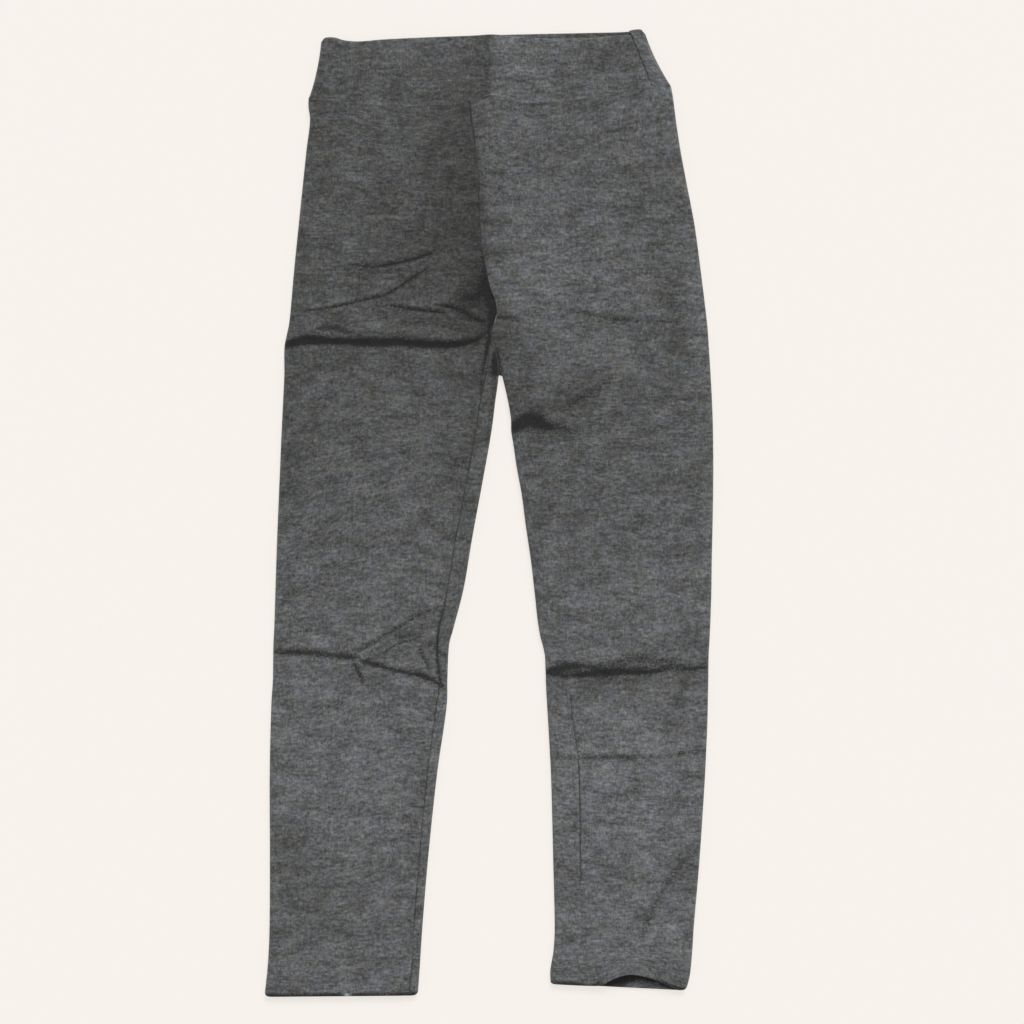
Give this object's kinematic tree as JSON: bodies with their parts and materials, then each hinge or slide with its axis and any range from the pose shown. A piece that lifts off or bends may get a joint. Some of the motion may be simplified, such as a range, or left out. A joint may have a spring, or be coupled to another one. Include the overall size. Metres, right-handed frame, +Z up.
{
  "type": "joggers",
  "caption": "Slim pull-on knit bottoms lying flat, front up, with a wide plain waistband, straight plain hems and a brushed fleece inside.",
  "frame": {"origin": "on the surface that the garment lies on, under the middle of its laid-out width and length", "axes": "+X across the garment towards the wearer's left leg, +Y along it towards the waist, +Z up off the surface, the way its front faces"},
  "size_m": [0.4475, 0.967, 0.0099],
  "materials": {
    "waistband_front_knit": "matt heathered knit with a soft brushed nap",
    "waistband_back_knit": "matt heathered knit with a soft brushed nap",
    "right_leg_knit": "matt heathered knit with a soft brushed nap",
    "left_leg_knit": "matt heathered knit with a soft brushed nap"
  },
  "bodies": {
    "root": {"waistband_front": "waistband_front_knit", "waistband_back": "waistband_back_knit", "right_leg": "right_leg_knit", "left_leg": "left_leg_knit"}
  },
  "joints": []
}
